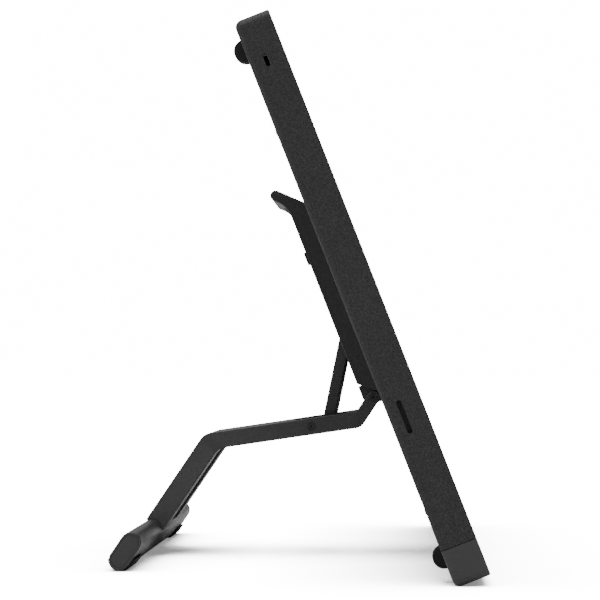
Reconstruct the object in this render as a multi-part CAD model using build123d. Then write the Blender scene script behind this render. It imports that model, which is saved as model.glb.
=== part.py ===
from build123d import *
import math
import os

# A pen display on an adjustable rear stand, in millimetres.
# Row frame: +Z up, the user sits on the -Y side, X runs along the slab's width.
# The slab and its stand housing are drawn in the slab frame: x across, y up the slab from its
# bottom edge, z from the back face towards the screen. The leg is drawn level, about the hinge.

# ---------------------------------------------------------------- slab
WIDTH = 566.0
LENGTH = 391.0
THICK = 24.4
TILT = 68.6                 # slab angle above the table
CORNER_R = 6.0              # plan corners
BACK_R = 4.8                # rounded back perimeter
FRONT_R = 1.1               # crisp front perimeter
CAP_LENGTH = 25.3           # smooth strip along the bottom edge
SEAM = 0.4                  # gap between the cap and the back cover
WALL = 4.5
BACK_WALL = 2.5
REBATE = 1.6                # rim left around the glass
GLASS_T = 1.1
GLASS_SETBACK = 0.2
TAPE_T = 0.2
LEDGE_Z = THICK - GLASS_SETBACK - GLASS_T - TAPE_T
TONGUE = 10.0               # how far the cap's tongue reaches into the back cover
TONGUE_T = 2.0

LOCK_SLOT = (8.3, 3.0)
LOCK_FROM_TOP = 31.1
LOCK_FROM_BACK = 11.4
SIDE_SLOT = (22.6, 3.4)
SIDE_SLOT_UP = 114.0
SIDE_SLOT_FROM_BACK = 9.8
TRIM_T = 0.7

BUMP_R = 7.6
BUMP_H = 7.2
BUMP_W = 13.0
BUMP_X = WIDTH / 2 - 32.0
BUMP_Y = (19.5, LENGTH - 16.6)

BUTTON_X = 220.0
BUTTON_SIZE = (16.0, 5.0)
BUTTON_GAP = 0.25
BUTTON_Z = 11.5
LIGHT_X = 236.0
LIGHT_R = 1.0

PORT_BAY = (104.0, 204.0, 64.0, 98.0)   # low x, high x, low y, high y
PORT_BAY_DEPTH = 10.0
PORT_BAY_WALL = 1.5
PORT_Z = 5.05

# ---------------------------------------------------------------- display stack
SCREEN_Y = 199.5
LCD = (533.0, 303.0, 1.7)
LIGHT_GUIDE = (529.0, 299.0, 2.7)
TRAY = (535.0, 305.0, 0.8)
DIGITIZER = (540.0, 308.0, 1.2)
SHIELD = (540.0, 310.0, 0.8)
LCD_Z = THICK - GLASS_SETBACK - GLASS_T - LCD[2]
TRAY_Z = LCD_Z - LIGHT_GUIDE[2] - TRAY[2]
DIGITIZER_Z = TRAY_Z - DIGITIZER[2]
SHIELD_Z = DIGITIZER_Z - SHIELD[2]
FRAME_T = 1.5
FRAME_Z = SHIELD_Z - FRAME_T
FRAME_RIM = 4.0
FRAME_X = 276.0
FRAME_Y = (38.0, 383.0)

# ---------------------------------------------------------------- boards
BOARD_Z = 7.6
BOARD_T = 1.6
MAIN_BOARD = (60.0, 240.0, 100.0, 200.0)
POWER_BOARD = (-235.0, -95.0, 200.0, 285.0)
CHIP_TOP = BOARD_Z + BOARD_T + 1.6
SPREADER = ((98.0, 216.0), (128.0, 182.0))
SPREADER_T = 1.0
FRAME_POSTS = [(x, y) for x in (-262.0, -90.0, 90.0, 262.0) for y in (62.0, 335.0)]
RIBBON_X = (115.0, 165.0)
RIBBON_Y = 213.0
RIBBON_T = 0.2

# ---------------------------------------------------------------- stand, seen from the side
# "up" is along the slab from the hinge, "out" is away from the slab's back.
HINGE_UP = 130.95
HINGE_OUT = 7.6
STAND_HALF = 50.0           # half width of the leg and the housing
HOUSING_OUT = 7.8
HOUSING_WALL = 3.5
BASE_T = 4.1
HOUSING_END_ANGLE = 50.0    # slanted lower end of the housing
HOUSING_END_GAP = 5.5       # its distance from the hinge axis
CHANNEL_TOP = 137.0
RECESS_HALF = 22.0
RECESS_TOP = 160.8
LIP_WALL = 3.0              # wall left between the recess and the lip's front face
LIP_R = 3.9
LIP_TIP = (166.3, 13.0)
LIP_ROOT_R = 20.0
LIP_BACK_R = 10.0

LEG_RUNS = ((19.7, 56.5, 9.6), (111.0, 8.4, 12.4), (85.7, 55.85, 15.0))  # length, fall, depth
LEG_WALL = 3.5
LEG_TOP_T = 2.0
LEG_FOOT_WEB = 3.0
HINGE_SWEEP_R = 15.3        # clear space inside the leg around the hinge bracket
STRUT_BOLT_ALONG = 35.8
POCKET_END = 52.8
WINDOW = (9.0, 48.2)
WINDOW_HALF = 42.8

STRUT_PIVOT = (53.0, 1.0)
STRUT_ANGLE = 33.0
STRUT_T = 8.3
STRUT_HALF = 40.0
STRUT_KNEE = 72.5
STRUT_FOOT_R = 4.6
STRUT_FOOT_HALF = 42.2

BOLT_HEAD_R = 3.25
BOLT_HEAD_T = 1.5
BOLT_R = 2.5
RUNNING = 0.05
BOLT_SOCKET_R = 1.15
STRUT_BOLT_TIP = 42.6
HINGE_BOLT_TIP = 38.0

FOOT_LONG = 28.4
FOOT_DEEP = 14.4
FOOT_HALF = 184.0
FOOT_WALL = 2.0
FOOT_CAP_T = 2.5
FOOT_LIFT = 1.05            # height of the bar above the table
PAD_X = (131.0, 176.0)
PAD_T = 1.6
PAD_HEIGHT = 8.0

# ---------------------------------------------------------------- placing
COS = math.cos(math.radians(TILT))
SIN = math.sin(math.radians(TILT))
SLAB_DROP = BACK_R * (SIN + COS - 1)                      # rounded lower back edge on the table
SLAB_FRONT = FRONT_R * COS - (THICK - FRONT_R) * SIN - FRONT_R
HINGE_Y = HINGE_UP * COS + HINGE_OUT * SIN
HINGE_Z = HINGE_UP * SIN - HINGE_OUT * COS - SLAB_DROP


def run_end(start, run):
    """The far end of one straight run of the leg, in level coordinates."""
    length, fall, _ = run
    angle = math.radians(fall)
    return (start[0] + length * math.cos(angle), start[1] - length * math.sin(angle))


LEG_PATH = [(0.0, 0.0)]
for leg_run in LEG_RUNS:
    LEG_PATH.append(run_end(LEG_PATH[-1], leg_run))
FOOT_FALL = math.radians(LEG_RUNS[2][1])
FOOT_STRAIGHT = (FOOT_LONG - FOOT_DEEP) / 2
FOOT_Z = FOOT_LIFT + FOOT_DEEP / 2 + FOOT_STRAIGHT * math.sin(FOOT_FALL)
FOOT = (LEG_PATH[3][0], FOOT_Z - HINGE_Z)
FOOT_BACK = HINGE_Y + FOOT[0] + FOOT_STRAIGHT * math.cos(FOOT_FALL) + FOOT_DEEP / 2
CENTRE_Y = (SLAB_FRONT + FOOT_BACK) / 2

FROM_SLAB = Pos(0, -CENTRE_Y, -SLAB_DROP) * Rot(TILT, 0, 0)
FROM_LEVEL = Pos(0, HINGE_Y - CENTRE_Y, HINGE_Z)
SIDE = Plane(origin=(0, HINGE_UP, -HINGE_OUT), x_dir=(0, 1, 0), z_dir=(-1, 0, 0))
LEVEL = Plane.YZ


# ---------------------------------------------------------------- helpers
STANDING = (Align.CENTER, Align.CENTER, Align.MIN)


def block(x_span, y_span, z_span):
    """A box between two positions on each axis."""
    size = [high - low for low, high in (x_span, y_span, z_span)]
    centre = [(high + low) / 2 for low, high in (x_span, y_span, z_span)]
    return Pos(*centre) * Box(*size)


def outline(rows):
    """A closed face through (u, v, corner radius) rows."""
    line = FilletPolyline(*[row[:2] for row in rows], radius=[row[2] for row in rows], close=True)
    return make_face(line)


def prism(plane, face, low, high):
    """A face drawn in a side view, made solid between two x positions."""
    return Pos(low, 0, 0) * extrude(plane * face, amount=high - low, dir=(1, 0, 0))


def disc(plane, centre, radius, low, high):
    """A round bar along X between two x positions."""
    return prism(plane, Pos(*centre) * Circle(radius), low, high)


def pair(shape):
    """The shape and its mirror image on the other side of the middle plane."""
    return [shape, mirror(shape, about=Plane.YZ)]


def group(shapes):
    """Separate solids in one node."""
    return Compound([solid for shape in shapes for solid in shape.solids()])


def beside(path, offsets, side):
    """Points at an offset beside a bent centre line, one for each point of the line."""
    normals = []
    for (u0, v0), (u1, v1) in zip(path, path[1:]):
        length = math.hypot(u1 - u0, v1 - v0)
        normals.append((-(v1 - v0) / length * side, (u1 - u0) / length * side))
    points = [(path[0][0] + normals[0][0] * offsets[0], path[0][1] + normals[0][1] * offsets[0])]
    for index in range(1, len(path) - 1):
        (a, b), (c, d) = normals[index - 1], normals[index]
        first, second = offsets[index - 1], offsets[index]
        size = a * d - b * c
        shift = ((first * d - second * b) / size, (a * second - c * first) / size)
        points.append((path[index][0] + shift[0], path[index][1] + shift[1]))
    end = normals[-1]
    points.append((path[-1][0] + end[0] * offsets[-1], path[-1][1] + end[1] * offsets[-1]))
    return points


def strip(path, above, below, radii):
    """A bent strip about a centre line; radii gives each inner corner its two radii."""
    upper = beside(path, above, 1)
    lower = beside(path, below, -1)
    corner_above = [0] + [radius for radius, _ in radii] + [0]
    corner_below = [0] + [radius for _, radius in radii] + [0]
    rows = [(u, v, r) for (u, v), r in zip(upper, corner_above)]
    rows += [(u, v, r) for (u, v), r in reversed(list(zip(lower, corner_below)))]
    return outline(rows)


def stadium_hole(length, width, depth, at, across):
    """A round-ended cutter: long along y, or along x when across is true, sunk through a wall."""
    face = SlotOverall(length, width)
    plane = Plane(origin=at, x_dir=(1, 0, 0), z_dir=(0, 1, 0))
    if not across:
        plane = Plane(origin=at, x_dir=(0, 1, 0), z_dir=(1, 0, 0))
    return extrude(plane * face, amount=depth / 2, both=True)


# ---------------------------------------------------------------- casing
def slab_shell():
    """The whole moulded casing before it is parted into back cover and bottom cap."""
    body = Pos(0, LENGTH / 2, 0) * extrude(RectangleRounded(WIDTH, LENGTH, CORNER_R), THICK)
    body = fillet(body.edges().group_by(Axis.Z)[-1], FRONT_R)
    body = fillet(body.edges().group_by(Axis.Z)[0], BACK_R)
    rebate = RectangleRounded(WIDTH - 2 * REBATE, LENGTH - 2 * REBATE, CORNER_R - REBATE)
    cavity = RectangleRounded(WIDTH - 2 * WALL, LENGTH - 2 * WALL, CORNER_R - 2.5)
    body -= Pos(0, LENGTH / 2, LEDGE_Z) * extrude(rebate, THICK)
    body -= Pos(0, LENGTH / 2, BACK_WALL) * extrude(cavity, THICK)
    return body


def post(x, y, radius, bore, top):
    """A hollow screw post standing on the back cover's inner face."""
    shape = Pos(x, y, BACK_WALL) * Cylinder(radius, top - BACK_WALL, align=STANDING)
    return shape - Pos(x, y, BACK_WALL + 1) * Cylinder(bore, top, align=STANDING)


def board_posts(board):
    """Screw places near the corners of a board."""
    low_x, high_x, low_y, high_y = board
    return [(x, y) for x in (low_x + 8, high_x - 8) for y in (low_y + 8, high_y - 8)]


STAND_SCREWS = [(x, HINGE_UP + up) for x in (-37.5, 37.5) for up in (30.0, 105.0)]
BRACKET_SCREWS = [(x, HINGE_UP + 5.0) for x in (-30.0, -10.0, 10.0, 30.0)]
INSERT_R = 2.9
INSERT_TOP = 9.0
SCREW_R = 1.95


def make_back_cover(shell):
    """Grained back and side shell with its posts, slots and port opening."""
    cover = shell - block((-WIDTH, WIDTH), (-1, CAP_LENGTH + SEAM), (-1, THICK + 1))
    for x, y in FRAME_POSTS:
        cover += post(x, y, 4.0, 1.25, FRAME_Z)
    for board in (MAIN_BOARD, POWER_BOARD):
        for x, y in board_posts(board):
            cover += post(x, y, 3.0, 1.25, BOARD_Z)
    for x, y in STAND_SCREWS:
        cover += Pos(x, y, BACK_WALL) * Cylinder(6, INSERT_TOP - BACK_WALL, align=STANDING)
        cover -= Pos(x, y, 0) * Cylinder(INSERT_R, 40)
    for x, y in BRACKET_SCREWS:
        cover += Pos(x, y, BACK_WALL) * Cylinder(3.2, 5, align=STANDING)
        cover -= Pos(x, y, 0) * Cylinder(1.5, 40)
    lock_at = (-WIDTH / 2, LENGTH - LOCK_FROM_TOP, LOCK_FROM_BACK)
    lock_plane = Plane(origin=lock_at, x_dir=(0, 1, 0), z_dir=(1, 0, 0))
    cover -= extrude(lock_plane * RectangleRounded(*LOCK_SLOT, 0.9), amount=WALL + 1, both=True)
    for side in (-1, 1):
        at = (side * WIDTH / 2, SIDE_SLOT_UP, SIDE_SLOT_FROM_BACK)
        trim_hole = [size + 2 * TRIM_T for size in SIDE_SLOT]
        cover -= stadium_hole(*trim_hole, 3 * WALL, at, False)
    top = (BUTTON_X, LENGTH, BUTTON_Z)
    button_hole = [size + 2 * BUTTON_GAP for size in BUTTON_SIZE]
    cover -= stadium_hole(*button_hole, 3 * WALL, top, True)
    light_plane = Plane(origin=(LIGHT_X, LENGTH, BUTTON_Z), z_dir=(0, 1, 0))
    cover -= extrude(light_plane * Circle(LIGHT_R), amount=2 * WALL, both=True)
    low_x, high_x, low_y, high_y = PORT_BAY
    cover -= block((low_x, high_x), (low_y, high_y), (-1, BACK_WALL + 0.5))
    return cover


def make_bottom_cap(shell):
    """Smooth strip along the bottom edge, with a tongue that reaches behind the seam."""
    cap = shell & block((-WIDTH, WIDTH), (-1, CAP_LENGTH), (-1, THICK + 1))
    half = WIDTH / 2 - WALL
    reach = (CAP_LENGTH - TONGUE, CAP_LENGTH + TONGUE)
    tongue = block((-half, half), reach, (BACK_WALL, FRAME_Z))
    inner = block((-half + TONGUE_T, half - TONGUE_T), (0, LENGTH), (BACK_WALL + TONGUE_T, THICK))
    return cap + (tongue - inner)


def make_front_glass():
    """Cover glass over the whole front, with a fine ground edge."""
    face = RectangleRounded(WIDTH - 2 * REBATE - 0.3, LENGTH - 2 * REBATE - 0.3, CORNER_R - REBATE)
    glass = Pos(0, LENGTH / 2, LEDGE_Z + TAPE_T) * extrude(face, GLASS_T)
    return chamfer(glass.edges().group_by(Axis.Z)[-1], 0.2)


def make_glass_tape():
    """Adhesive frame between the glass and the casing's ledge."""
    outer = RectangleRounded(WIDTH - 2 * REBATE - 1, LENGTH - 2 * REBATE - 1, CORNER_R - REBATE - 0.5)
    inner = RectangleRounded(WIDTH - 2 * WALL + 0.4, LENGTH - 2 * WALL + 0.4, CORNER_R - 2.3)
    return Pos(0, LENGTH / 2, LEDGE_Z) * extrude(outer - inner, TAPE_T)


def sheet(size, z):
    """A flat rectangular layer of the display, centred on the screen."""
    width, height, depth = size
    return Pos(0, SCREEN_Y, z + depth / 2) * Box(width, height, depth)


def make_backlight_tray():
    """Shallow metal tray with a rim that holds the light guide and the LED bar."""
    tray = sheet((TRAY[0], TRAY[1], LCD_Z - TRAY_Z), TRAY_Z)
    hollow = sheet((TRAY[0] - 2, TRAY[1] - 2, LIGHT_GUIDE[2]), TRAY_Z + TRAY[2])
    return tray - hollow


def make_mid_frame():
    """Light metal frame that carries the display, with a rim and a ribbon window."""
    low_y, high_y = FRAME_Y
    frame = block((-FRAME_X, FRAME_X), (low_y, high_y), (FRAME_Z, LCD_Z + LCD[2] - 0.6))
    frame -= block((-FRAME_X + FRAME_RIM, FRAME_X - FRAME_RIM), (low_y + FRAME_RIM, high_y - FRAME_RIM),
                   (FRAME_Z + FRAME_T, THICK))
    frame -= block(RIBBON_X, (RIBBON_Y - 2, RIBBON_Y + 16), (0, THICK))
    for x, y in FRAME_POSTS:
        frame -= Pos(x, y, FRAME_Z) * Cylinder(1.3, 10)
    return frame


def make_shield_plate():
    """Thin steel screen behind the digitizer, cut away over the frame screws and the ribbon."""
    plate = sheet(SHIELD, SHIELD_Z)
    for x, y in FRAME_POSTS:
        plate -= Pos(x, y, SHIELD_Z) * Cylinder(4, 10)
    return plate - block(RIBBON_X, (RIBBON_Y - 2, RIBBON_Y + 16), (0, THICK))


def make_digitizer_board():
    """Sensor board behind the panel, notched over the frame screws."""
    board = sheet(DIGITIZER, DIGITIZER_Z)
    for x, y in FRAME_POSTS:
        board -= Pos(x, y, DIGITIZER_Z) * Cylinder(4, 3)
    return board


def make_ribbon():
    """Flat cable from the main board up to the digitizer board, folded twice."""
    top = DIGITIZER_Z
    low = BOARD_Z + BOARD_T
    span = (RIBBON_X[0] + 5, RIBBON_X[1] - 5)
    on_board = block(span, (RIBBON_Y - 27, RIBBON_Y), (low, low + RIBBON_T))
    riser = block(span, (RIBBON_Y - RIBBON_T, RIBBON_Y), (low, top))
    on_sensor = block(span, (RIBBON_Y - RIBBON_T, RIBBON_Y + 12), (top - RIBBON_T, top))
    return on_board + riser + on_sensor


def make_board(board):
    """A circuit board with its corner screw holes."""
    low_x, high_x, low_y, high_y = board
    shape = block((low_x, high_x), (low_y, high_y), (BOARD_Z, BOARD_Z + BOARD_T))
    for x, y in board_posts(board):
        shape -= Pos(x, y, BOARD_Z) * Cylinder(1.3, 10)
    return shape


CHIPS = [(110.0, 150.0, 20.0, 20.0), (150.0, 168.0, 16.0, 16.0), (182.0, 140.0, 12.0, 18.0),
         (206.0, 170.0, 14.0, 14.0), (-205.0, 250.0, 14.0, 14.0), (-170.0, 225.0, 10.0, 10.0),
         (-140.0, 255.0, 18.0, 12.0)]


def make_board_chips():
    """Processor, memory and driver packages on both boards."""
    spans = [((x - w / 2, x + w / 2), (y - h / 2, y + h / 2)) for x, y, w, h in CHIPS]
    return [block(x_span, y_span, (BOARD_Z + BOARD_T, CHIP_TOP)) for x_span, y_span in spans]


def make_screws(places, head_r, head_z, head_t, shank_r, tip_z):
    """Pan-head screws along z: head towards the screen, tip towards the back."""
    screws = []
    for x, y in places:
        head = Pos(x, y, head_z + head_t / 2) * Cylinder(head_r, head_t)
        head = fillet(head.edges().group_by(Axis.Z)[-1], head_t * 0.4)
        shank = Pos(x, y, (head_z + tip_z) / 2) * Cylinder(shank_r, head_z - tip_z)
        cross = Pos(x, y, head_z + head_t) * (Box(head_r, 0.6, head_t) + Box(0.6, head_r, head_t))
        screws.append(head + shank - cross)
    return screws


# ---------------------------------------------------------------- ports and button
PORTS = [(118.0, 15.0, 5.2), (141.0, 9.0, 3.2), (158.0, 9.0, 3.2)]   # x, width, height
POWER_JACK = (182.0, 2.5)                                            # x, radius


def make_port_bay():
    """Tray sunk into the back cover; the sockets open through its upper wall."""
    low_x, high_x, low_y, high_y = PORT_BAY
    tray = block((low_x, high_x), (low_y, high_y), (0, PORT_BAY_DEPTH))
    wall = PORT_BAY_WALL
    tray -= block((low_x + wall, high_x - wall), (low_y + wall, high_y - wall), (-1, PORT_BAY_DEPTH - wall))
    for x, width, height in PORTS:
        tray -= block((x - width / 2, x + width / 2), (high_y - 3, high_y + 3),
                      (PORT_Z - height / 2, PORT_Z + height / 2))
    jack, radius = POWER_JACK
    jack_plane = Plane(origin=(jack, high_y, PORT_Z), z_dir=(0, 1, 0))
    return tray - extrude(jack_plane * Circle(radius), amount=3, both=True)


def make_port_connectors():
    """Metal socket shells behind the port bay's wall, with their tongues and the power jack."""
    face_y = PORT_BAY[3] - PORT_BAY_WALL + 0.4
    shells = []
    for x, width, height in PORTS:
        half_w, half_h = width / 2 - 0.1, height / 2 - 0.1
        shell = block((x - half_w, x + half_w), (face_y, face_y + 12), (PORT_Z - half_h, PORT_Z + half_h))
        shell -= block((x - half_w + 0.5, x + half_w - 0.5), (face_y - 1, face_y + 9),
                       (PORT_Z - half_h + 0.5, PORT_Z + half_h - 0.5))
        tongue = block((x - half_w + 1.6, x + half_w - 1.6), (face_y + 1, face_y + 9.5),
                       (PORT_Z - 0.35, PORT_Z + 0.35))
        shells.append(shell + tongue)
    jack, radius = POWER_JACK
    plane = Plane(origin=(jack, face_y, PORT_Z), z_dir=(0, 1, 0))
    barrel = extrude(plane * Circle(radius - 0.1), amount=12)
    barrel -= extrude(plane * Circle(radius - 0.7), amount=9)
    barrel += extrude(plane * Circle(0.9), amount=10)
    return shells + [barrel]


def make_power_button():
    """Round-ended key in the top edge, with a flange inside and a short stem."""
    plane = Plane(origin=(BUTTON_X, LENGTH, BUTTON_Z), x_dir=(1, 0, 0), z_dir=(0, 1, 0))
    key = extrude(plane * SlotOverall(*BUTTON_SIZE), amount=-WALL - 0.8)
    key = fillet(key.edges().group_by(Axis.Y)[-1], 0.4)
    flange_plane = plane.offset(-WALL - 0.3)
    flange = extrude(flange_plane * SlotOverall(BUTTON_SIZE[0] + 3, BUTTON_SIZE[1] + 2), amount=-1)
    stem = extrude(flange_plane * Circle(1.4), amount=-3)
    return key + flange + stem


BUTTON_BOARD_Y = LENGTH - WALL - 7.5


def make_button_board():
    """Small upright board behind the power button, with its switch."""
    board = block((BUTTON_X - 16, BUTTON_X + 22), (BUTTON_BOARD_Y - 1.2, BUTTON_BOARD_Y),
                  (BACK_WALL, BUTTON_Z + 1.8))
    plane = Plane(origin=(BUTTON_X, BUTTON_BOARD_Y, BUTTON_Z - 1), x_dir=(1, 0, 0), z_dir=(0, 1, 0))
    switch = extrude(plane * Rectangle(6, 5), amount=2.0)
    dome = extrude(plane * Circle(1.6), amount=3.2)
    return board + switch + dome


def make_light_pipe():
    """Clear rod that brings the status light from the button board to the top edge."""
    plane = Plane(origin=(LIGHT_X, LENGTH - 0.1, BUTTON_Z), z_dir=(0, 1, 0))
    rod = extrude(plane * Circle(LIGHT_R), amount=-(LENGTH - 0.1 - BUTTON_BOARD_Y))
    return rod


def make_lock_plate():
    """Steel plate behind the lock slot that takes the load of a lock."""
    inner = -WIDTH / 2 + WALL
    at_y = LENGTH - LOCK_FROM_TOP
    plate = block((inner, inner + 1.5), (at_y - 10, at_y + 10), (BACK_WALL, FRAME_Z))
    plane = Plane(origin=(inner, at_y, LOCK_FROM_BACK - 0.2), x_dir=(0, 1, 0), z_dir=(1, 0, 0))
    return plate - extrude(plane * RectangleRounded(7.4, 3.0, 0.9), amount=6, both=True)


def make_slot_trim():
    """Lining of one long side slot: a closed pocket for a clip-on accessory."""
    at = (-WIDTH / 2, SIDE_SLOT_UP, SIDE_SLOT_FROM_BACK)
    plane = Plane(origin=at, x_dir=(0, 1, 0), z_dir=(1, 0, 0))
    outer = extrude(plane * SlotOverall(SIDE_SLOT[0] + 2 * TRIM_T, SIDE_SLOT[1] + 2 * TRIM_T), amount=7)
    bore = extrude(plane * SlotOverall(*SIDE_SLOT), amount=6)
    return outer - bore - Pos(0.3, 0, 0) * block((-WIDTH, -WIDTH / 2), (0, LENGTH), (0, THICK))


def make_bump(x, y):
    """Half-round rubber bump on the slab's back with flat ends."""
    centre = BUMP_R - BUMP_H
    plane = Plane(origin=(x - BUMP_W / 2, y, centre), x_dir=(0, 1, 0), z_dir=(1, 0, 0))
    bump = extrude(plane * Circle(BUMP_R), amount=BUMP_W)
    bump = fillet(bump.edges(), 0.7)
    return bump & block((-WIDTH, WIDTH), (0, LENGTH), (-THICK, 0))


def make_insert(x, y):
    """Brass threaded bush for one stand screw, with a knurl groove."""
    bush = Pos(x, y, BACK_WALL) * Cylinder(INSERT_R, INSERT_TOP - BACK_WALL, align=STANDING)
    ring = Cylinder(INSERT_R + 1, 0.8) - Cylinder(INSERT_R - 0.4, 1)
    groove = Pos(x, y, (INSERT_TOP + BACK_WALL) / 2) * ring
    return bush - groove - Pos(x, y, 0) * Cylinder(SCREW_R + RUNNING, 40)


# ---------------------------------------------------------------- stand housing
HEAD_R = 3.9
HEAD_DEPTH = 1.7
SCREW_TIP = 8.0


def countersunk(x, y, gap=0.0):
    """Countersunk screw whose head is flush with the housing's base."""
    cone = Pos(x, y, -BASE_T) * Cone(HEAD_R + gap, SCREW_R + gap, HEAD_DEPTH, align=STANDING)
    return cone + Pos(x, y, -BASE_T) * Cylinder(SCREW_R + gap, SCREW_TIP + BASE_T, align=STANDING)


def make_stand_screws():
    """Four countersunk screws that hold the housing, with hex sockets."""
    screws = []
    for x, y in STAND_SCREWS:
        socket = Pos(x, y, -BASE_T - 1) * extrude(RegularPolygon(1.5, 6), 2.4)
        screws.append(countersunk(x, y) - socket)
    return screws


def make_stand_housing():
    """Channel-shaped casting on the slab's back with a flared grip lip at its top."""
    angle = math.radians(HOUSING_END_ANGLE)
    along, across = (math.cos(angle), math.sin(angle)), (math.sin(angle), -math.cos(angle))

    def end_up(out):
        """Height of the slanted lower end where it meets a given distance out."""
        step = (out - HOUSING_END_GAP * across[1]) / along[1]
        return HOUSING_END_GAP * across[0] + step * along[0]

    diagonal = math.sqrt(0.5)
    tip_up, tip_out = LIP_TIP
    under = (tip_up - LIP_R * diagonal, tip_out + LIP_R * diagonal)
    above = (tip_up + LIP_R * diagonal, tip_out - LIP_R * diagonal)
    end = LIP_R * diagonal
    rows = [(end_up(-HINGE_OUT), -HINGE_OUT, 0),
            (end_up(HOUSING_OUT), HOUSING_OUT, 1.5),
            (under[0] - (under[1] - HOUSING_OUT), HOUSING_OUT, LIP_ROOT_R),
            (under[0] + end, under[1] + end, LIP_R - 0.05),
            (above[0] + end, above[1] + end, LIP_R - 0.05),
            (above[0] - (above[1] + HINGE_OUT), -HINGE_OUT, LIP_BACK_R)]
    body = prism(SIDE, outline(rows), -STAND_HALF, STAND_HALF)
    body = fillet(body.edges().filter_by(Plane.YZ), 0.8)
    inner = STAND_HALF - HOUSING_WALL
    base = -HINGE_OUT + BASE_T
    channel = outline([(-20, base, 0), (CHANNEL_TOP, base, 1.5), (CHANNEL_TOP, 30, 0), (-20, 30, 0)])
    body -= prism(SIDE, channel, -inner, inner)
    below = outline([(-20, -20, 0), (12, -20, 0), (12, 30, 0), (-20, 30, 0)])
    body -= prism(SIDE, below, -inner, inner)
    front = rows[-1][0] + HINGE_OUT - LIP_WALL / diagonal
    recess = outline([(CHANNEL_TOP - 5, base, 0), (front + base, base, 3),
                      (RECESS_TOP, RECESS_TOP - front, 1.5), (RECESS_TOP - 2.4, 12.5, 0),
                      (CHANNEL_TOP, 30, 0), (CHANNEL_TOP - 5, 30, 0)])
    body -= prism(SIDE, recess, -RECESS_HALF, RECESS_HALF)
    for x, y in STAND_SCREWS:
        body -= countersunk(x, y, RUNNING)
    body -= disc(SIDE, KEY_PIN, KEY_PIN_R, -KEY_PIN_HALF, KEY_PIN_HALF)
    return body


# The release key sits in the recess under the lip; pulled out, it takes the lock frame with it.
KEY_PIN = (143.0, 1.5)
KEY_PIN_R = 1.5
KEY_PIN_HALF = 27.0
KEY_HALF = 20.5
KEY_NOSE_HALF = 8.0
KEY_HUB_R = 2.9
KEY_TRAVEL = 1.6
KEY_SLOT_END = (KEY_PIN[0], KEY_PIN[1] - KEY_TRAVEL - 0.1)
KEY_SPRING_X = (12.0, 16.0)
LOCK_OUT = (5.0, 6.2)
LOCK_ARM_X = (42.0, 46.2)
LOCK_BAR_UP = (131.5, 135.5)
LOCK_BOTTOM = 46.0
LOCK_NOTCHES = 19
LOCK_PITCH = 4.0


def key_slot(radius, low, high):
    """Round-ended bar along X around the guide pin, long enough for the key's travel."""
    (up, out), (_, end) = KEY_PIN, KEY_SLOT_END
    straight = Pos(up, (out + end) / 2) * Rectangle(2 * radius, out - end)
    shape = prism(SIDE, straight, low, high)
    shape += disc(SIDE, KEY_PIN, radius, low, high)
    return shape + disc(SIDE, KEY_SLOT_END, radius, low, high)


def make_release_key():
    """Pull key: ribbed paddle above the guide pin, nose below it that holds the lock frame's bar."""
    up, out = KEY_PIN
    low, high = LOCK_BAR_UP
    seat, top = LOCK_OUT
    paddle = outline([(up - 2, out - 2.6, 1), (up + 6, out - 1.6, 3), (up + 10.5, out + 1.2, 0.8),
                      (up + 9.8, out + 3.6, 0.8), (up + 5, out + 2.2, 3), (up - 2, out + 2.8, 1)])
    before, after = low - RUNNING, high + RUNNING
    nose = outline([(low - 1.2, seat - 1.6, 0.4), (low - 1.2, top, 0.4), (before, top, 0),
                    (before, seat, 0), (after, seat, 0), (after, top, 0), (high + 1.2, top, 0.4),
                    (up, out + 2.6, 0), (up, out - 2.4, 0)])
    body = prism(SIDE, paddle, -KEY_HALF, KEY_HALF) + key_slot(KEY_HUB_R, -KEY_HALF, KEY_HALF)
    body += prism(SIDE, nose, -KEY_NOSE_HALF, KEY_NOSE_HALF)
    for rib in range(3):
        groove = Pos(up + 5.0 + 1.6 * rib, out + 2.35 + 0.5 * rib) * Circle(0.4)
        body -= prism(SIDE, groove, -KEY_HALF + 3, KEY_HALF - 3)
    inner, outer = KEY_SPRING_X
    for cut in pair(key_slot(KEY_HUB_R + 0.1, inner, outer)):
        body -= cut
    return body - key_slot(KEY_PIN_R + RUNNING, -WIDTH, WIDTH)


def make_key_pin():
    """Steel pin across the recess that guides the release key."""
    return disc(SIDE, KEY_PIN, KEY_PIN_R, -KEY_PIN_HALF, KEY_PIN_HALF)


def make_key_springs():
    """Two wound return springs around the guide pin, each turn a solid ring."""
    rings = []
    for side in (-1, 1):
        for turn in range(4):
            low = side * sum(KEY_SPRING_X) / 2 - 1.5 + turn * 0.75
            ring = disc(SIDE, KEY_PIN, 2.3, low, low + 0.7) - disc(SIDE, KEY_PIN, 1.7, low - 1, low + 2)
            rings.append(ring)
    return rings


def make_lock_frame():
    """Two notched lock strips joined by a bar that sits in the release key's nose."""
    inner, outer = LOCK_ARM_X
    seat, top = LOCK_OUT
    low, high = LOCK_BAR_UP
    bar = outline([(low, seat, 0), (low, top, 0), (high, top, 0), (high, seat, 0)])
    arm = outline([(LOCK_BOTTOM, seat, 0), (LOCK_BOTTOM, top, 0), (high, top, 0), (high, seat, 0)])
    frame = prism(SIDE, bar, -outer, outer)
    for shape in pair(prism(SIDE, arm, inner, outer)):
        frame += shape
    for index in range(LOCK_NOTCHES):
        notch = Pos(LOCK_BOTTOM + 5 + index * LOCK_PITCH, top) * Rectangle(1.6, 0.8)
        for cut in pair(prism(SIDE, notch, inner - 0.1, inner + 2.2)):
            frame -= cut
    return frame


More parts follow.
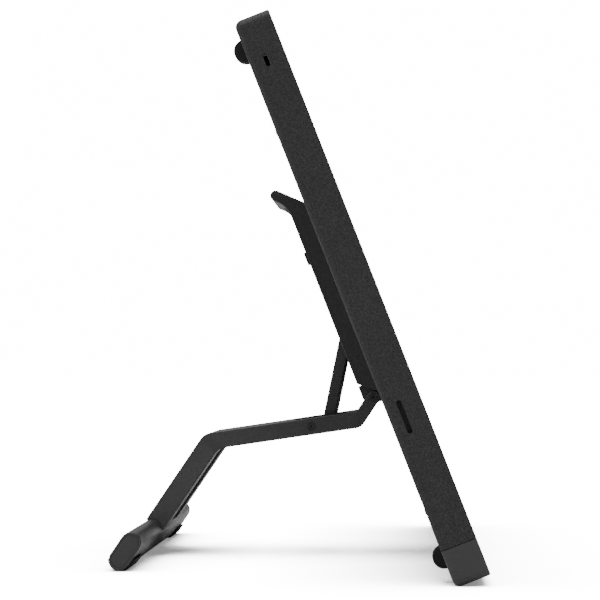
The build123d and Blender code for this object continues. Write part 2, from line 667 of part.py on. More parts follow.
def make_hinge_bracket():
    """Cast block on the slab's back between the leg's arms; the hinge bolts screw into it."""
    rows = [(-4.8, -HINGE_OUT, 0), (-4.8, 2.0, 4.4), (0.5, HOUSING_OUT, 4.5), (11.5, HOUSING_OUT, 0.6),
            (11.5, -HINGE_OUT, 0)]
    body = prism(SIDE, outline(rows), -46, 46)
    body = fillet(body.edges().filter_by(Plane.YZ), 0.5)
    for side in (-1, 1):
        span = sorted((side * HINGE_BOLT_TIP, side * 60))
        body -= disc(SIDE, (0, 0), BOLT_R, *span)
    for x, y in BRACKET_SCREWS:
        body -= Pos(x, y, 0) * Cylinder(1.6, 40)
        body -= Pos(x, y, -HINGE_OUT - HOUSING_OUT - 1) * Cylinder(3.3, 6.5, align=STANDING)
    for side in (-1, 1):
        pocket = outline([(2, 3.4, 1), (9, 3.4, 1), (9, 20, 0), (2, 20, 0)])
        body -= prism(SIDE, pocket, *sorted((side * 36, side * 42)))
    return body


def make_bracket_screws():
    """Socket screws that hold the hinge bracket to the back cover."""
    screws = []
    for x, y in BRACKET_SCREWS:
        seat = -HINGE_OUT - HOUSING_OUT + 5.5
        head = Pos(x, y, seat - 2.4) * Cylinder(2.7, 2.4, align=STANDING)
        head = fillet(head.edges().group_by(Axis.Z)[0], 0.4)
        shank = Pos(x, y, seat) * Cylinder(1.45, 5.5 - seat, align=STANDING)
        socket = Pos(x, y, seat - 3) * extrude(RegularPolygon(1.4, 6), 1.9)
        screws.append(head + shank - socket)
    return screws


# ---------------------------------------------------------------- bolts, leg, strut
def make_bolt(plane, centre, tip):
    """Shoulder bolt from the leg's outer face inwards: ringed head, hex socket, plain shank."""
    head = disc(plane, centre, BOLT_HEAD_R, STAND_HALF - BOLT_HEAD_T, STAND_HALF)
    head = chamfer(head.edges().group_by(Axis.X)[-1], 0.25)
    shank = disc(plane, centre, BOLT_R, tip, STAND_HALF - BOLT_HEAD_T)
    ring = disc(plane, centre, 2.45, STAND_HALF - 0.4, STAND_HALF + 1)
    ring -= disc(plane, centre, 1.95, STAND_HALF - 1, STAND_HALF + 2)
    hexagon = Pos(*centre) * RegularPolygon(BOLT_SOCKET_R, 6)
    return head + shank - ring - prism(plane, hexagon, STAND_HALF - 1.3, STAND_HALF + 1)


def bolt_hole(plane, centre, radius):
    """Stepped hole through one leg arm for a bolt and its head."""
    bore = disc(plane, centre, radius, STAND_HALF - 20, STAND_HALF + 1)
    return bore + disc(plane, centre, BOLT_HEAD_R + 0.1, STAND_HALF - BOLT_HEAD_T, STAND_HALF + 1)


def leg_point(run, along, above=0.0):
    """A point beside one run of the leg, in level coordinates."""
    start = LEG_PATH[run]
    angle = math.radians(LEG_RUNS[run][1])
    return (start[0] + along * math.cos(angle) + above * math.sin(angle),
            start[1] - along * math.sin(angle) + above * math.cos(angle))


def leg_box(run, along, above):
    """A rectangle square to one run of the leg."""
    corners = [(along[0], above[0]), (along[1], above[0]), (along[1], above[1]), (along[0], above[1])]
    return outline([(*leg_point(run, u, v), 0) for u, v in corners])


STRUT_BOLT = leg_point(1, STRUT_BOLT_ALONG)
LEG_END = LEG_RUNS[2][0] - FOOT_STRAIGHT - 3.5
SADDLE = (FOOT[0] - FOOT_STRAIGHT * math.cos(FOOT_FALL), FOOT[1] + FOOT_STRAIGHT * math.sin(FOOT_FALL))


def make_leg():
    """Bent leg: side arms at the hinge, an open channel, then rails with a groove to the foot."""
    path = LEG_PATH[:3] + [leg_point(2, LEG_END)]
    half = [run[2] / 2 for run in LEG_RUNS]
    body = prism(LEVEL, strip(path, half, half, [(2.9, 9.7), (11.0, 12.0)]), -STAND_HALF, STAND_HALF)
    body += disc(LEVEL, (0, 0), half[0], -STAND_HALF, STAND_HALF)
    body = fillet(body.edges().filter_by(Plane.YZ), 0.8)
    inner = STAND_HALF - LEG_WALL
    body -= disc(LEVEL, (0, 0), HINGE_SWEEP_R, -inner, inner)
    body -= prism(LEVEL, leg_box(1, (-30, POCKET_END), (-30, half[1] - LEG_TOP_T)), -inner, inner)
    body -= prism(LEVEL, leg_box(1, WINDOW, (-30, 30)), -WINDOW_HALF, WINDOW_HALF)
    groove_path = [leg_point(1, POCKET_END - 5), LEG_PATH[2], leg_point(2, LEG_END - LEG_FOOT_WEB - 4)]
    groove_above = [half[1] - LEG_TOP_T, half[2] - LEG_TOP_T - 1]
    groove = strip(groove_path, groove_above, [20, 20], [(9.0, 0)])
    body -= prism(LEVEL, groove, -RECESS_HALF, RECESS_HALF)
    body -= disc(LEVEL, SADDLE, FOOT_DEEP / 2 + RUNNING, -STAND_HALF - 1, STAND_HALF + 1)
    for hole in (bolt_hole(LEVEL, (0, 0), BOLT_R + RUNNING), bolt_hole(LEVEL, STRUT_BOLT, BOLT_R)):
        for cut in pair(hole):
            body -= cut
    for x in FOOT_SCREW_X:
        body -= foot_screw(x, 0.1, 1.7)
    return body


FOOT_SCREW_X = (-12.0, 12.0)
FOOT_SCREW_HEAD = LEG_END - LEG_FOOT_WEB - 4
FOOT_SCREW_PLANE = Plane(origin=(0, *leg_point(2, 0, -1.5)), x_dir=(1, 0, 0),
                         z_dir=(0, math.cos(FOOT_FALL), -math.sin(FOOT_FALL)))


def foot_screw(x, gap, length_past=0.0):
    """Shank of one screw through the leg's end web into the foot bar."""
    shank = Pos(x, 0, FOOT_SCREW_HEAD - 1) * Cylinder(1.8 + gap, 17 + length_past, align=STANDING)
    return FOOT_SCREW_PLANE * shank


def make_foot_bar_screws():
    """Two socket screws at the end of the leg's groove."""
    screws = []
    for x in FOOT_SCREW_X:
        head = Pos(x, 0, FOOT_SCREW_HEAD - 2.2) * Cylinder(3, 2.2, align=STANDING)
        head -= Pos(x, 0, FOOT_SCREW_HEAD - 3) * extrude(RegularPolygon(1.5, 6), 2)
        screws.append(FOOT_SCREW_PLANE * head + foot_screw(x, 0))
    return screws


def strut_point(along, beside_out=0.0):
    """A point on the strut's straight part, in slab side coordinates at rest."""
    angle = math.radians(STRUT_ANGLE)
    return (STRUT_PIVOT[0] - along * math.cos(angle) + beside_out * math.sin(angle),
            STRUT_PIVOT[1] + along * math.sin(angle) + beside_out * math.cos(angle))


def side_from_level(point):
    """A level point about the hinge, given as (up, out) beside the slab."""
    return (point[0] * COS + point[1] * SIN, point[0] * SIN - point[1] * COS)


def make_strut():
    """Wide bent link between the carriage and the leg, with a round eye at each end."""
    foot = side_from_level(STRUT_BOLT)
    half = STRUT_T / 2
    path = [STRUT_PIVOT, strut_point(STRUT_KNEE), foot]
    body = prism(SIDE, strip(path, [half, half], [half, half], [(3.0, 7.0)]), -STRUT_HALF, STRUT_HALF)
    body += disc(SIDE, STRUT_PIVOT, half, -STRUT_HALF, STRUT_HALF)
    body = fillet(body.edges().filter_by(Plane.YZ), 0.6)
    body += disc(SIDE, foot, STRUT_FOOT_R, -STRUT_FOOT_HALF, STRUT_FOOT_HALF)
    body -= disc(SIDE, STRUT_PIVOT, STRUT_PIN_R + RUNNING, -WIDTH, WIDTH)
    for side in (-1, 1):
        body -= disc(SIDE, foot, BOLT_R + RUNNING, *sorted((side * (STRUT_FOOT_HALF - 8), side * WIDTH)))
    return body


STRUT_PIN_R = 2.5
STRUT_PIN_HALF = 45.0


def make_carriage():
    """Two slide blocks beside the strut's top eye."""
    up, out = STRUT_PIVOT
    blocks = []
    face = outline([(up - 6, -3.2, 0.8), (up - 6, 4.6, 0.8), (up + 6, 4.6, 0.8), (up + 6, -3.2, 0.8)])
    for side in (-1, 1):
        slide = prism(SIDE, face, *sorted((side * 40.6, side * 46.2)))
        pin = disc(SIDE, STRUT_PIVOT, STRUT_PIN_R, -STRUT_PIN_HALF, STRUT_PIN_HALF)
        blocks.append(slide - pin)
    return blocks


def make_leg_bumpers():
    """Rubber bumpers on the housing's side walls that the folded leg comes to rest on."""
    face = outline([(108.7, HOUSING_OUT, 0), (118.6, HOUSING_OUT, 0), (118.6, 9.3, 0.8), (108.7, 9.3, 0.8)])
    return pair(prism(SIDE, face, 46.8, 49.4))


# ---------------------------------------------------------------- foot bar
def foot_section(long, deep):
    """Round-ended section of the foot bar, lying along the leg's last run."""
    return Pos(*FOOT) * Rot(0, 0, -math.degrees(FOOT_FALL)) * SlotOverall(long, deep)


def make_foot_bar():
    """Hollow round-ended bar across the leg's end."""
    half = FOOT_HALF - FOOT_CAP_T
    body = prism(LEVEL, foot_section(FOOT_LONG, FOOT_DEEP), -half, half)
    body -= prism(LEVEL, foot_section(FOOT_LONG - 2 * FOOT_WALL, FOOT_DEEP - 2 * FOOT_WALL), -WIDTH, WIDTH)
    for x in FOOT_SCREW_X:
        body -= foot_screw(x, 0.0)
    return body


def make_foot_end_caps():
    """Flat end caps with a plug inside the bar and a fine groove near the rim."""
    inner = FOOT_HALF - FOOT_CAP_T
    cap = prism(LEVEL, foot_section(FOOT_LONG, FOOT_DEEP), inner + 0.15, FOOT_HALF)
    cap = chamfer(cap.edges().group_by(Axis.X)[-1], 0.4)
    bore = (FOOT_LONG - 2 * FOOT_WALL, FOOT_DEEP - 2 * FOOT_WALL)
    cap += prism(LEVEL, foot_section(bore[0] - 0.2, bore[1] - 0.2), inner - 8, inner + 0.15)
    groove = foot_section(FOOT_LONG - 3.0, FOOT_DEEP - 3.0) - foot_section(FOOT_LONG - 3.8, FOOT_DEEP - 3.8)
    return pair(cap - prism(LEVEL, groove, FOOT_HALF - 0.3, FOOT_HALF + 1))


def make_foot_pads():
    """Rubber soles wrapped under the bar near its ends, flat where they stand on the table."""
    sleeve = foot_section(FOOT_LONG + 2 * PAD_T, FOOT_DEEP + 2 * PAD_T) - foot_section(FOOT_LONG, FOOT_DEEP)
    floor = -HINGE_Z
    keep = Pos(FOOT[0], floor + PAD_HEIGHT / 2) * Rectangle(80, PAD_HEIGHT)
    return pair(prism(LEVEL, sleeve & keep, *PAD_X))


# ---------------------------------------------------------------- the whole object
def nodes():
    """Every node's solids in the row frame."""
    shell = slab_shell()
    slab = {
        "back_cover": [make_back_cover(shell)],
        "bottom_cap": [make_bottom_cap(shell)],
        "front_glass": [make_front_glass()],
        "glass_tape": [make_glass_tape()],
        "lcd_panel": [sheet(LCD, LCD_Z)],
        "light_guide": [sheet(LIGHT_GUIDE, TRAY_Z + TRAY[2])],
        "backlight_tray": [make_backlight_tray()],
        "digitizer_board": [make_digitizer_board()],
        "shield_plate": [make_shield_plate()],
        "mid_frame": [make_mid_frame()],
        "frame_screws": make_screws(FRAME_POSTS, 2.6, FRAME_Z + FRAME_T, 1.0, 1.2, 5.0),
        "main_board": [make_board(MAIN_BOARD)],
        "power_board": [make_board(POWER_BOARD)],
        "board_chips": make_board_chips(),
        "board_screws": make_screws(board_posts(MAIN_BOARD) + board_posts(POWER_BOARD), 2.5,
                                    BOARD_Z + BOARD_T, 1.1, 1.2, 4.0),
        "heat_spreader": [block(*SPREADER, (CHIP_TOP, CHIP_TOP + SPREADER_T))],
        "sensor_ribbon": [make_ribbon()],
        "port_bay": [make_port_bay()],
        "port_connectors": make_port_connectors(),
        "power_button": [make_power_button()],
        "button_board": [make_button_board()],
        "status_light_pipe": [make_light_pipe()],
        "lock_slot_plate": [make_lock_plate()],
        "side_slot_trims": pair(make_slot_trim()),
        "back_bumps": [make_bump(x, y) for x in (-BUMP_X, BUMP_X) for y in BUMP_Y],
        "stand_inserts": [make_insert(x, y) for x, y in STAND_SCREWS],
        "stand_screws": make_stand_screws(),
        "stand_housing": [make_stand_housing()],
        "hinge_bracket": [make_hinge_bracket()],
        "bracket_screws": make_bracket_screws(),
        "hinge_bolts": pair(make_bolt(SIDE, (0, 0), HINGE_BOLT_TIP)),
        "hinge_washers": pair(disc(SIDE, (0, 0), 4.4, 46.02, 46.42) - disc(SIDE, (0, 0), BOLT_R, 40, 50)),
        "release_key": [make_release_key()],
        "key_pin": [make_key_pin()],
        "key_springs": make_key_springs(),
        "lock_frame": [make_lock_frame()],
        "leg_bumpers": make_leg_bumpers(),
        "carriage_blocks": make_carriage(),
        "strut_pin": [disc(SIDE, STRUT_PIVOT, STRUT_PIN_R, -STRUT_PIN_HALF, STRUT_PIN_HALF)],
        "strut": [make_strut()],
    }
    level = {
        "leg": [make_leg()],
        "strut_bolts": pair(make_bolt(LEVEL, STRUT_BOLT, STRUT_BOLT_TIP)),
        "foot_bar": [make_foot_bar()],
        "foot_end_caps": make_foot_end_caps(),
        "foot_bar_screws": make_foot_bar_screws(),
        "foot_pads": make_foot_pads(),
    }
    placed = {name: FROM_SLAB * group(shapes) for name, shapes in slab.items()}
    placed.update({name: FROM_LEVEL * group(shapes) for name, shapes in level.items()})
    return placed


os.makedirs("parts", exist_ok=True)
for node_name, node_shape in nodes().items():
    export_step(node_shape, f"parts/{node_name}.step")
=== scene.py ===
import bpy
import bmesh
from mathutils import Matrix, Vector


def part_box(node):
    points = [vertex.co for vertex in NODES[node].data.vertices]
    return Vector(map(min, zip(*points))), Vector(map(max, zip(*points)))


# A black pen display leaning on its folding stand, seen at its left edge.
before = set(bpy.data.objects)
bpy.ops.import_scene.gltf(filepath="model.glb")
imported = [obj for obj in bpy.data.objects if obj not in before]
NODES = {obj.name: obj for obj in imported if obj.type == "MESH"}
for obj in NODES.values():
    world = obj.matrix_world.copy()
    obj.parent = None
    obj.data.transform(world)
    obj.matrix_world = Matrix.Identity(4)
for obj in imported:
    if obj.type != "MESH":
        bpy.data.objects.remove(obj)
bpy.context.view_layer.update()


# ---------------------------------------------------------------- camera, light, floor
VIEW_GAP = 1.470                 # camera to the slab's near edge, along X
VIEW_LEVEL = (-0.0709, 0.1399)   # camera's Y and Z
VIEW_TURN = (0.0435, 0.0294)     # slopes of the view towards +Y and +Z
VIEW_LENS = 137.7                # focal length in mm
SENSOR = 36                      # sensor width in mm
NEAREST = 0.05                   # closest thing that the camera shows

LIGHTS = (                       # name, place, what it points at, size, power
    ("overhead_light", (-0.3, 0.35, 2.1), (0, 0, 0.1), 1.6, 40),
    ("camera_side_light", (-2.2, -1.1, 1.0), (0, 0, 0.15), 1.2, 10),
    ("back_light", (-0.6, 1.8, 0.9), (0, 0.1, 0.15), 1.2, 8),
)
WHITE = (1, 1, 1, 1)
WORLD_GLOW = 0.5                 # light from all round
BACKDROP_GLOW = 16.0             # how bright the empty background looks

FLOOR_HALF = 30.0
FLOOR_WHITE = (0.93, 0.93, 0.93, 1)
FLOOR_ROUGH = 0.9
FLOOR_GLOW = (0.2, 16.0)         # painted shadow near things that stand on it, and the glow in the open
SHADE_REACH = 0.13               # how far from a thing the painted shadow on the floor reaches
SHADE_FLOOR = 0.3                # openness at which the painted shadow on the floor is darkest
SHADE_SAMPLES = 16


def add_camera():
    """The camera looks along +X at the slab's left edge, a little to the back and upwards."""
    camera = bpy.data.objects.new("view_camera", bpy.data.cameras.new("view_camera"))
    bpy.context.scene.collection.objects.link(camera)
    near_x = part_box("back_cover")[0].x
    camera.location = (near_x - VIEW_GAP, *VIEW_LEVEL)
    heading = Vector((1, *VIEW_TURN))
    camera.rotation_euler = heading.to_track_quat("-Z", "Y").to_euler()
    camera.data.lens = VIEW_LENS
    camera.data.sensor_width = SENSOR
    camera.data.clip_start = NEAREST
    bpy.context.scene.camera = camera


def add_area(name, place, target, size, power):
    """One soft square light."""
    data = bpy.data.lights.new(name, "AREA")
    data.shape = "RECTANGLE"
    data.size = size
    data.size_y = size
    data.energy = power
    light = bpy.data.objects.new(name, data)
    light.location = place
    light.rotation_euler = (Vector(target) - Vector(place)).to_track_quat("-Z", "Y").to_euler()
    bpy.context.scene.collection.objects.link(light)


def add_lights():
    """Soft studio light, and a world that looks brighter to the camera than it shines."""
    for light in LIGHTS:
        add_area(*light)
    world = bpy.data.worlds.new("studio")
    world.use_nodes = True
    tree = world.node_tree
    background = tree.nodes["Background"]
    background.inputs["Color"].default_value = WHITE
    rays = tree.nodes.new("ShaderNodeLightPath")
    choose = tree.nodes.new("ShaderNodeMapRange")
    choose.inputs["To Min"].default_value = WORLD_GLOW
    choose.inputs["To Max"].default_value = BACKDROP_GLOW
    tree.links.new(rays.outputs["Is Camera Ray"], choose.inputs["Value"])
    tree.links.new(choose.outputs["Result"], background.inputs["Strength"])
    bpy.context.scene.world = world


def add_floor():
    """Plain white floor, wide enough to fill the view, with a painted shadow close to what stands on it.
    """
    mesh = bpy.data.meshes.new("floor")
    build = bmesh.new()
    corners = ((-1, -1), (1, -1), (1, 1), (-1, 1))
    build.faces.new([build.verts.new((x * FLOOR_HALF, y * FLOOR_HALF, 0)) for x, y in corners])
    build.to_mesh(mesh)
    build.free()
    floor = bpy.data.objects.new("floor", mesh)
    bpy.context.scene.collection.objects.link(floor)
    material = bpy.data.materials.new("floor_white")
    material.use_nodes = True
    shader = material.node_tree.nodes["Principled BSDF"]
    shader.inputs["Base Color"].default_value = FLOOR_WHITE
    shader.inputs["Roughness"].default_value = FLOOR_ROUGH
    shader.inputs["Emission Color"].default_value = WHITE
    tree = material.node_tree
    # Painted shadow: the floor's glow is dimmed by ambient occlusion near what stands on it.
    shade = tree.nodes.new("ShaderNodeAmbientOcclusion")
    shade.samples = SHADE_SAMPLES
    shade.inputs["Distance"].default_value = SHADE_REACH
    glow_with_painted_shadow = tree.nodes.new("ShaderNodeMapRange")
    glow_with_painted_shadow.inputs["From Min"].default_value = SHADE_FLOOR
    glow_with_painted_shadow.inputs["To Min"].default_value = FLOOR_GLOW[0]
    glow_with_painted_shadow.inputs["To Max"].default_value = FLOOR_GLOW[1]
    seen = tree.nodes.new("ShaderNodeMath")
    seen.operation = "MULTIPLY"
    rays = tree.nodes.new("ShaderNodeLightPath")
    tree.links.new(shade.outputs["AO"], glow_with_painted_shadow.inputs["Value"])
    tree.links.new(glow_with_painted_shadow.outputs["Result"], seen.inputs[0])
    tree.links.new(rays.outputs["Is Camera Ray"], seen.inputs[1])
    tree.links.new(seen.outputs["Value"], shader.inputs["Emission Strength"])
    mesh.materials.append(material)


# ---------------------------------------------------------------- material tools
class Paint:
    """A small builder for one procedural material in object coordinates (metres)."""

    def __init__(self, name, roughness, metallic=0.0, specular=0.5, coat=0.0):
        self.material = bpy.data.materials.new(name)
        self.material.use_nodes = True
        self.tree = self.material.node_tree
        self.shader = self.tree.nodes["Principled BSDF"]
        self.shader.inputs["Roughness"].default_value = roughness
        self.shader.inputs["Metallic"].default_value = metallic
        self.shader.inputs["Specular IOR Level"].default_value = specular
        self.shader.inputs["Coat Weight"].default_value = coat
        self.coords = self.node("ShaderNodeTexCoord").outputs["Object"]

    def node(self, kind, **values):
        item = self.tree.nodes.new(kind)
        for key, value in values.items():
            setattr(item, key, value)
        return item

    def link(self, source, target):
        self.tree.links.new(source, target)

    def noise(self, size, detail=2.0, roughness=0.5, coords=None):
        """Soft noise whose features are about size metres across."""
        item = self.node("ShaderNodeTexNoise")
        item.inputs["Scale"].default_value = 1.0 / size
        item.inputs["Detail"].default_value = detail
        item.inputs["Roughness"].default_value = roughness
        self.link(coords or self.coords, item.inputs["Vector"])
        return item.outputs["Fac"]

    def cells(self, size, feature="F1"):
        """Cell pattern with cells about size metres across."""
        item = self.node("ShaderNodeTexVoronoi", feature=feature)
        item.inputs["Scale"].default_value = 1.0 / size
        self.link(self.coords, item.inputs["Vector"])
        return item.outputs["Distance"]

    def stretch(self, scale):
        """Object coordinates scaled differently along each axis, for brushed or drawn grain."""
        item = self.node("ShaderNodeMapping")
        item.inputs["Scale"].default_value = scale
        self.link(self.coords, item.inputs["Vector"])
        return item.outputs["Vector"]

    def spread(self, value, low, high, low_in=0.3, high_in=0.7):
        """A value stretched from one range to another, clamped."""
        item = self.node("ShaderNodeMapRange")
        limits = {"From Min": low_in, "From Max": high_in, "To Min": low, "To Max": high}
        for socket, number in limits.items():
            item.inputs[socket].default_value = number
        self.link(value, item.inputs["Value"])
        return item.outputs["Result"]

    def ramp(self, value, stops):
        """Colours along a value from 0 to 1."""
        item = self.node("ShaderNodeValToRGB")
        band = item.color_ramp
        while len(band.elements) < len(stops):
            band.elements.new(0.5)
        for element, (place, colour) in zip(band.elements, stops):
            element.position = place
            element.color = (*colour, 1)
        self.link(value, item.inputs["Fac"])
        return item.outputs["Color"]

    def math(self, operation, first, second):
        """One operation on two values, each a number or a socket."""
        item = self.node("ShaderNodeMath", operation=operation)
        for socket, value in zip(item.inputs, (first, second)):
            if isinstance(value, (int, float)):
                socket.default_value = value
            else:
                self.link(value, socket)
        return item.outputs["Value"]

    def mix(self, factor, first, second, blend="MIX"):
        """Two colours mixed by a factor."""
        item = self.node("ShaderNodeMix", data_type="RGBA", blend_type=blend)
        for socket, value in ((0, factor), (6, first), (7, second)):
            if isinstance(value, (int, float)):
                item.inputs[socket].default_value = value
            elif isinstance(value, tuple):
                item.inputs[socket].default_value = (*value, 1)
            else:
                self.link(value, item.inputs[socket])
        return item.outputs[2]

    def edges(self):
        """1 on convex edges, 0 on flat ground."""
        pointed = self.node("ShaderNodeNewGeometry").outputs["Pointiness"]
        return self.spread(pointed, 0.0, 1.0, 0.52, 0.6)

    def colour(self, source):
        self.link(source, self.shader.inputs["Base Color"])

    def roughness(self, source):
        self.link(source, self.shader.inputs["Roughness"])

    def bump(self, height, depth, strength):
        """Relief from a height value, depth metres deep."""
        item = self.node("ShaderNodeBump")
        item.inputs["Strength"].default_value = strength
        item.inputs["Distance"].default_value = depth
        self.link(height, item.inputs["Height"])
        self.link(item.outputs["Normal"], self.shader.inputs["Normal"])


def grey(level):
    """A neutral colour."""
    return (level, level, level)


# ---------------------------------------------------------------- materials
# Sizes of what a surface shows, in metres.
PEBBLE = 0.0011                  # casing grain
PEBBLE_DEPTH = 0.00022
ETCH = 0.0005                    # fine etching and grit
ETCH_DEPTH = 0.00003
COAT_SPECK = 0.00045             # powder coat
COAT_PEEL = 0.0022
COAT_DEPTH = 0.00005
RUBBER_BLOOM = 0.006
RUBBER_DEPTH = 0.00004
METAL_MARK = 0.008
METAL_DEPTH = 0.00002
DRAWN_GRAIN = (40.0, 1500.0, 1500.0)     # waves per metre, long along X
BOLT_REACH = 0.0035              # the rings on a bolt head are drawn out to here
BRASS_GRAIN = 0.0006
GLASS_ETCH = 0.00025
GLASS_DEPTH = 0.000008
WEAVE = 0.0012                   # laminate of the boards
TRACE = 0.006
TRACE_DEPTH = 0.00004
CHIP_SPECK = 0.0004
DOT = 0.002                      # printed dots on clear plastic
RIPPLE = 0.004                   # film and tape
RIPPLE_DEPTH = 0.00005

ACTIVE_HALF = 0.2655             # half the lit width
ACTIVE_SPAN = (0.127, 0.893)     # lit part of the glass's height


def grained_plastic():
    """Coarse spark-eroded grain: pebbles under a millimetre, lighter on their crowns."""
    paint = Paint("grained_casing", roughness=0.66, specular=0.3)
    coarse = paint.noise(PEBBLE, detail=4.0, roughness=0.75)
    fine = paint.noise(ETCH, detail=2.0)
    drift = paint.noise(0.05, detail=1.0)
    height = paint.math("ADD", coarse, paint.math("MULTIPLY", fine, 0.35))
    crowns = paint.ramp(coarse, ((0.36, grey(0.010)), (0.5, grey(0.018)), (0.62, grey(0.034))))
    shade = paint.ramp(drift, ((0.3, grey(0.86)), (0.7, grey(1.0))))
    paint.colour(paint.mix(1.0, crowns, shade, "MULTIPLY"))
    paint.roughness(paint.spread(coarse, 0.72, 0.5))
    paint.bump(height, PEBBLE_DEPTH, 0.7)
    return paint.material


def satin_plastic(name, level, roughness):
    """Finely etched moulding, smooth at arm's length, with faint handling marks and a painted highlight
    on convex edges.
    """
    paint = Paint(name, roughness=roughness, specular=0.45)
    speck = paint.noise(ETCH, detail=2.0)
    drift = paint.noise(0.03, detail=2.0)
    base = paint.ramp(speck, ((0.35, grey(level * 0.86)), (0.65, grey(level * 1.12))))
    # Painted highlight: convex edges are painted lighter.
    with_painted_edge_highlight = paint.mix(paint.math("MULTIPLY", paint.edges(), 0.35), base, grey(level * 2.1))
    paint.colour(with_painted_edge_highlight)
    paint.roughness(paint.spread(drift, roughness - 0.06, roughness + 0.07))
    paint.bump(speck, ETCH_DEPTH, 0.6)
    return paint.material


def powder_coat(name, level, roughness):
    """Fine powder coat on metal: orange-peel ripple, tiny specks, and a painted highlight on convex
    edges.
    """
    paint = Paint(name, roughness=roughness, specular=0.5)
    peel = paint.noise(COAT_PEEL, detail=1.0)
    speck = paint.noise(COAT_SPECK, detail=2.0)
    drift = paint.noise(0.06, detail=2.0)
    base = paint.ramp(speck, ((0.36, grey(level * 0.82)), (0.64, grey(level * 1.18))))
    tone = paint.ramp(drift, ((0.3, grey(0.9)), (0.7, grey(1.0))))
    # Painted highlight: convex edges are painted lighter.
    painted_edge_highlight = paint.math("MULTIPLY", paint.edges(), 0.3)
    with_painted_edge_highlight = paint.mix(painted_edge_highlight, paint.mix(1.0, base, tone, "MULTIPLY"), grey(level * 2.4))
    paint.colour(with_painted_edge_highlight)
    paint.roughness(paint.spread(drift, roughness - 0.05, roughness + 0.06))
    height = paint.math("ADD", paint.math("MULTIPLY", peel, 0.6), paint.math("MULTIPLY", speck, 0.5))
    paint.bump(height, COAT_DEPTH, 0.8)
    return paint.material


def matte_rubber():
    """Soft black rubber with a dusty bloom."""
    paint = Paint("rubber", roughness=0.82, specular=0.3)
    bloom = paint.noise(RUBBER_BLOOM, detail=4.0)
    grain = paint.noise(ETCH, detail=2.0)
    paint.colour(paint.ramp(bloom, ((0.3, grey(0.010)), (0.6, grey(0.016)), (0.8, grey(0.026)))))
    paint.roughness(paint.spread(bloom, 0.75, 0.9))
    paint.bump(grain, RUBBER_DEPTH, 0.7)
    return paint.material


def brushed_metal(name, level, roughness):
    """Metal with drawn grain along X and a few darker marks."""
    paint = Paint(name, roughness=roughness, metallic=1.0)
    grain = paint.noise(1.0, detail=3.0, coords=paint.stretch(DRAWN_GRAIN))
    marks = paint.noise(METAL_MARK, detail=3.0)
    base = paint.ramp(grain, ((0.3, grey(level * 0.8)), (0.7, grey(level * 1.1))))
    tone = paint.ramp(marks, ((0.3, grey(0.8)), (0.6, grey(1.0))))
    paint.colour(paint.mix(1.0, base, tone, "MULTIPLY"))
    paint.roughness(paint.spread(grain, roughness - 0.07, roughness + 0.1))
    paint.bump(grain, METAL_DEPTH, 0.5)
    return paint.material


def bolt_steel(name, node, level):
    """Black-oxide bolt seen end on: painted shade in the round socket, in the groove ring and in the gap
    round the head, turned face between.
    """
    paint = Paint(name, roughness=0.42, metallic=0.3, specular=0.45)
    low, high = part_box(node)
    centre = (low + high) / 2
    middle = paint.node("ShaderNodeVectorMath", operation="SUBTRACT")
    paint.link(paint.coords, middle.inputs[0])
    middle.inputs[1].default_value = centre
    flat = paint.node("ShaderNodeVectorMath", operation="MULTIPLY")
    paint.link(middle.outputs["Vector"], flat.inputs[0])
    flat.inputs[1].default_value = (0, 1, 1)
    radius = paint.node("ShaderNodeVectorMath", operation="LENGTH")
    paint.link(flat.outputs["Vector"], radius.inputs[0])
    out = paint.spread(radius.outputs["Value"], 0.0, 1.0, 0.0, BOLT_REACH)
    # The dark bands are painted shade in the socket, the groove and the gap round the head.
    dark = grey(level * 0.1)
    turned = paint.ramp(out, ((0.0, dark), (0.32, dark), (0.37, grey(level)), (0.54, grey(level * 1.15)),
                              (0.57, dark), (0.69, dark), (0.72, grey(level * 1.3)), (0.89, grey(level)),
                              (0.92, dark)))
    swirl = paint.noise(ETCH, detail=3.0)
    streaks = paint.ramp(swirl, ((0.35, grey(0.4)), (0.65, grey(1.0))))
    paint.colour(paint.mix(0.35, turned, streaks, "MULTIPLY"))
    paint.bump(swirl, METAL_DEPTH, 0.6)
    return paint.material


def brass():
    """Turned brass."""
    paint = Paint("brass_bush", roughness=0.32, metallic=1.0)
    grain = paint.noise(BRASS_GRAIN, detail=2.0)
    paint.colour(paint.ramp(grain, ((0.35, (0.5, 0.34, 0.12)), (0.65, (0.72, 0.53, 0.22)))))
    paint.roughness(paint.spread(grain, 0.25, 0.42))
    paint.bump(grain, METAL_DEPTH, 0.5)
    return paint.material


def active_area(paint):
    """1 over the lit part of the screen, 0 over the printed border of the glass."""
    low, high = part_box("front_glass")
    split = paint.node("ShaderNodeSeparateXYZ")
    paint.link(paint.coords, split.inputs[0])
    up = paint.spread(split.outputs["Z"], 0.0, 1.0, low.z, high.z)
    side = paint.math("ABSOLUTE", split.outputs["X"], 0.0)
    inside = paint.math("LESS_THAN", side, ACTIVE_HALF)
    inside = paint.math("MULTIPLY", inside, paint.math("GREATER_THAN", up, ACTIVE_SPAN[0]))
    return paint.math("MULTIPLY", inside, paint.math("LESS_THAN", up, ACTIVE_SPAN[1]))


def screen_glass():
    """Etched anti-glare glass: black, with a fine sparkle and a soft reflection."""
    paint = Paint("screen_glass", roughness=0.22, specular=0.5, coat=0.35)
    paint.shader.inputs["Coat Roughness"].default_value = 0.12
    etch = paint.noise(GLASS_ETCH, detail=2.0)
    smear = paint.noise(0.07, detail=3.0)
    border = paint.ramp(etch, ((0.35, grey(0.0045)), (0.65, grey(0.0065))))
    panel = paint.ramp(etch, ((0.35, (0.0085, 0.009, 0.0105)), (0.65, (0.0125, 0.013, 0.015))))
    paint.colour(paint.mix(active_area(paint), border, panel))
    paint.roughness(paint.spread(smear, 0.19, 0.28))
    paint.bump(etch, GLASS_DEPTH, 0.5)
    return paint.material


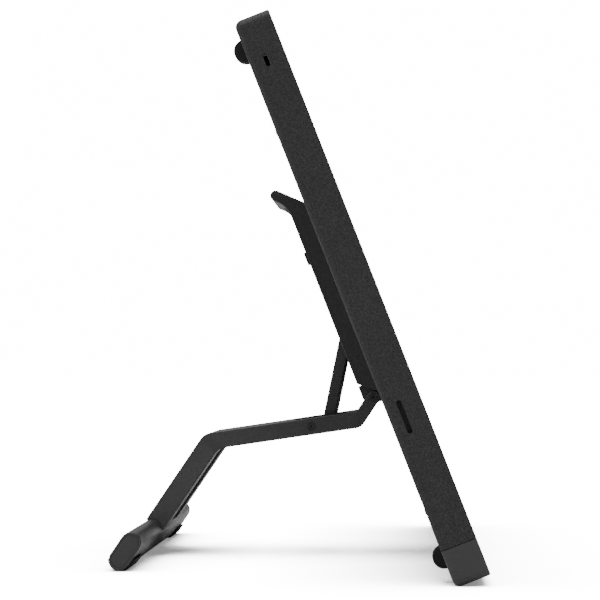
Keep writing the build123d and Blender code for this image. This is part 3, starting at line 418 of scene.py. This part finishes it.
def circuit_board():
    """Green solder mask over woven laminate, with paler traces."""
    paint = Paint("circuit_board", roughness=0.38, specular=0.5)
    weave = paint.cells(WEAVE)
    traces = paint.cells(TRACE, "DISTANCE_TO_EDGE")
    mask = paint.ramp(weave, ((0.2, (0.008, 0.05, 0.022)), (0.8, (0.014, 0.075, 0.032))))
    lines = paint.spread(traces, 1.0, 0.0, 0.02, 0.06)
    paint.colour(paint.mix(paint.math("MULTIPLY", lines, 0.6), mask, (0.03, 0.16, 0.06)))
    paint.bump(lines, TRACE_DEPTH, 0.8)
    return paint.material


def chip_plastic():
    """Moulded epoxy packages."""
    paint = Paint("chips", roughness=0.55)
    speck = paint.noise(CHIP_SPECK, detail=2.0)
    paint.colour(paint.ramp(speck, ((0.35, grey(0.012)), (0.65, grey(0.022)))))
    paint.bump(speck, ETCH_DEPTH, 0.6)
    return paint.material


def clear_acrylic():
    """Clear moulded plastic with a milky print of fine dots."""
    paint = Paint("clear_acrylic", roughness=0.12)
    dots = paint.cells(DOT)
    paint.colour(paint.ramp(dots, ((0.25, grey(0.9)), (0.5, (0.72, 0.77, 0.8)))))
    paint.roughness(paint.spread(dots, 0.35, 0.08, 0.2, 0.5))
    paint.shader.inputs["Transmission Weight"].default_value = 0.35
    return paint.material


def film(name, dark, light, roughness):
    """Thin film or tape with slight ripples."""
    paint = Paint(name, roughness=roughness)
    ripple = paint.noise(RIPPLE, detail=2.0)
    paint.colour(paint.ramp(ripple, ((0.3, dark), (0.7, light))))
    paint.roughness(paint.spread(ripple, roughness - 0.06, roughness + 0.06))
    paint.bump(ripple, RIPPLE_DEPTH, 0.5)
    return paint.material


def dark_panel():
    """Switched-off display panel behind the glass."""
    paint = Paint("panel", roughness=0.3)
    mura = paint.noise(0.05, detail=2.0)
    paint.colour(paint.ramp(mura, ((0.3, grey(0.012)), (0.7, (0.014, 0.015, 0.019)))))
    return paint.material


def dress(material, *names):
    """Give the named CAD nodes one material."""
    for name in names:
        mesh = NODES[name].data
        mesh.materials.clear()
        mesh.materials.append(material)


def dress_all():
    """Every CAD node gets its material."""
    dress(grained_plastic(), "back_cover")
    dress(satin_plastic("smooth_casing", 0.018, 0.5), "bottom_cap", "power_button")
    dress(screen_glass(), "front_glass")
    dress(film("tape", grey(0.01), grey(0.02), 0.6), "glass_tape")
    dress(dark_panel(), "lcd_panel")
    dress(clear_acrylic(), "light_guide", "status_light_pipe")
    dress(brushed_metal("bare_metal", 0.62, 0.4), "backlight_tray", "mid_frame", "heat_spreader")
    dress(brushed_metal("steel_sheet", 0.5, 0.32), "shield_plate", "lock_slot_plate", "port_connectors",
          "hinge_washers", "key_springs", "key_pin", "strut_pin")
    dress(circuit_board(), "digitizer_board", "main_board", "power_board", "button_board")
    dress(chip_plastic(), "board_chips")
    dress(brushed_metal("screws", 0.09, 0.42), "frame_screws", "board_screws", "bracket_screws",
          "stand_screws", "foot_bar_screws")
    dress(film("ribbon", (0.36, 0.16, 0.03), (0.5, 0.25, 0.06), 0.35), "sensor_ribbon")
    dress(satin_plastic("port_tray", 0.012, 0.6), "port_bay", "side_slot_trims")
    dress(brass(), "stand_inserts")
    dress(powder_coat("cast_stand", 0.013, 0.5), "stand_housing", "hinge_bracket", "strut")
    dress(powder_coat("leg_coat", 0.022, 0.42), "leg", "foot_bar")
    dress(satin_plastic("caps", 0.018, 0.48), "foot_end_caps", "release_key")
    dress(bolt_steel("hinge_bolt_steel", "hinge_bolts", 0.034), "hinge_bolts")
    dress(bolt_steel("strut_bolt_steel", "strut_bolts", 0.034), "strut_bolts")
    dress(brushed_metal("lock_steel", 0.07, 0.46), "lock_frame", "carriage_blocks")
    dress(matte_rubber(), "back_bumps", "leg_bumpers", "foot_pads")


add_camera()
add_lights()
add_floor()
dress_all()
